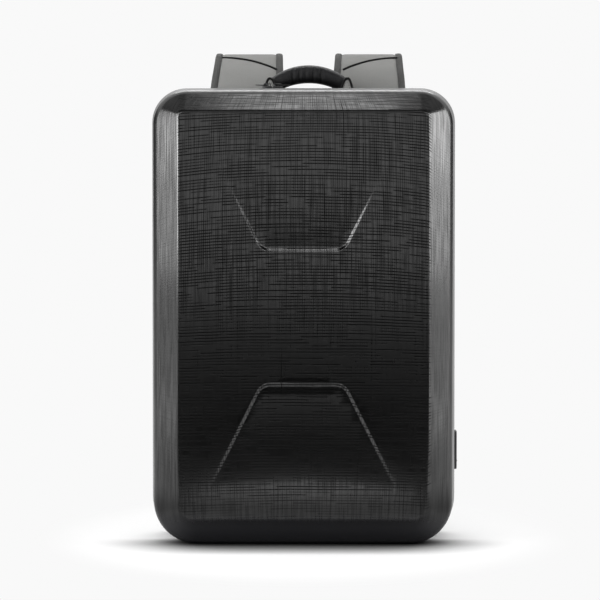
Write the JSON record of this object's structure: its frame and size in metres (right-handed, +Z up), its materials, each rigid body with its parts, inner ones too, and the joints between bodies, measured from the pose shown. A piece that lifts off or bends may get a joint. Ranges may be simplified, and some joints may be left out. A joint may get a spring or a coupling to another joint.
{
  "type": "hard shell backpack",
  "caption": "Upright backpack with a moulded, textured hard front shell, fabric rear body, carry handle, padded shoulder straps and a zip all round.",
  "frame": {"origin": "on the floor under the middle of the bounding box", "axes": "+Z up, -Y the way the moulded front shell faces, +X to the right for someone who looks at the shell"},
  "size_m": [0.306, 0.2076, 0.4891],
  "materials": {
    "shell": "moulded, fine woven texture, semi-matt",
    "body_fabric": "coated polyester weave",
    "tape": "woven zip tape",
    "coil": "nylon coil",
    "metal": "black, polished",
    "leatherette": "soft, padded",
    "grey_fabric": "dense grey weave",
    "mesh": "air mesh over foam",
    "webbing": "woven nylon",
    "plastic": "satin",
    "rubber": "matt"
  },
  "bodies": {
    "pack": {"adjuster_loop_left": "webbing", "adjuster_loop_right": "webbing", "anchor_wing_left": "body_fabric", "anchor_wing_right": "body_fabric", "back_pad": "mesh", "carry_grip": "leatherette", "front_shell": "shell", "handle_tab_left": "grey_fabric", "handle_tab_right": "grey_fabric", "lower_webbing_left": "webbing", "lower_webbing_right": "webbing", "port_cover": "rubber", "port_plate": "plastic", "rear_body": "body_fabric", "shoulder_strap_left": "grey_fabric", "shoulder_strap_right": "grey_fabric", "strap_adjuster_left": "plastic", "strap_adjuster_right": "plastic", "zip_coil": "coil", "zip_slider_left": "metal", "zip_slider_right": "metal", "zip_tape": "tape"},
    "zip_pull_left": {"zip_pull_left": "metal"},
    "zip_pull_right": {"zip_pull_right": "metal"}
  },
  "joints": [
    {"name": "zip_pull_left_hinge", "type": "hinge", "parent": "pack", "child": "zip_pull_left", "pos_m": [-0.0379, -0.02476, 0.45315], "axis": [0, 1, 0], "range_deg": [0, 90]},
    {"name": "zip_pull_right_hinge", "type": "hinge", "parent": "pack", "child": "zip_pull_right", "pos_m": [-0.0275, -0.02476, 0.45315], "axis": [0, -1, 0], "range_deg": [0, 90]}
  ]
}
